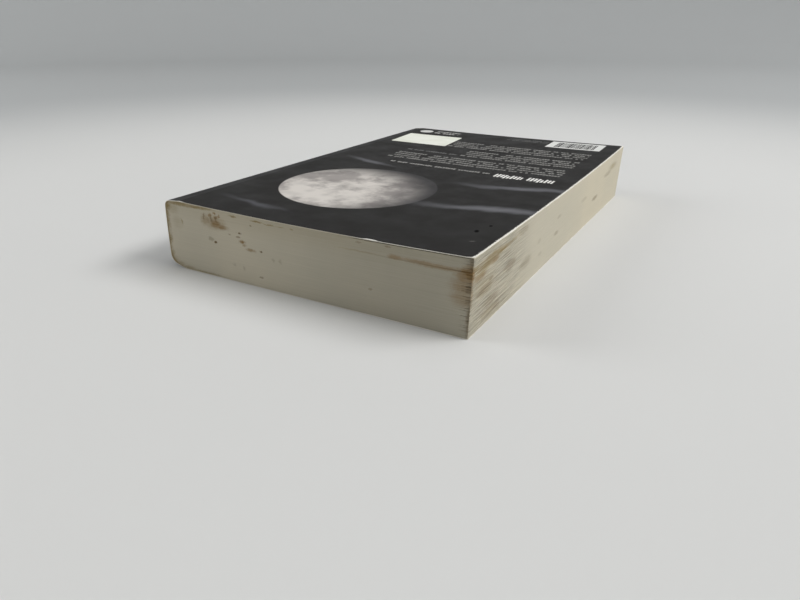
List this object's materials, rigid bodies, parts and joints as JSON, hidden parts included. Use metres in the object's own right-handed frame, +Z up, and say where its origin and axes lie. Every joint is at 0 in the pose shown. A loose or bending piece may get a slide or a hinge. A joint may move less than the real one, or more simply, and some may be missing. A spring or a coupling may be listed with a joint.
{
  "type": "paperback book",
  "caption": "Thick perfect-bound paperback book lying flat, with a thin card cover wrapped round a block of leaves; both cover panels open on scored folds beside the spine.",
  "frame": {"origin": "middle of the book's footprint, on the surface that its front cover lies on", "axes": "+X from the spine to the fore edge, +Y from the head to the tail, +Z up, from the front cover to the back cover"},
  "size_m": [0.1298, 0.198, 0.0275],
  "materials": {
    "page_paper": "uncoated bulky book paper, trimmed edges, yellowed and foxed",
    "cover_card": "one-side coated card, printed black and laminated, white core",
    "hot_melt_glue": "yellowed hot-melt adhesive, satin",
    "label_paper": "plain self-adhesive paper label, matt"
  },
  "bodies": {
    "block": {"text_block": "page_paper", "spine_glue": "hot_melt_glue", "spine_cover": "cover_card"},
    "back_panel": {"back_cover": "cover_card", "blank_label": "label_paper"},
    "front_panel": {"front_cover": "cover_card"}
  },
  "joints": [
    {"name": "back_cover_fold", "type": "hinge", "parent": "block", "child": "back_panel", "pos_m": [-0.05646, 0, 0.02744], "axis": [0, -1, 0], "range_deg": [0, 170]},
    {"name": "front_cover_fold", "type": "hinge", "parent": "block", "child": "front_panel", "pos_m": [-0.05736, 0, 0], "axis": [0, 1, 0], "range_deg": [0, 170]}
  ]
}
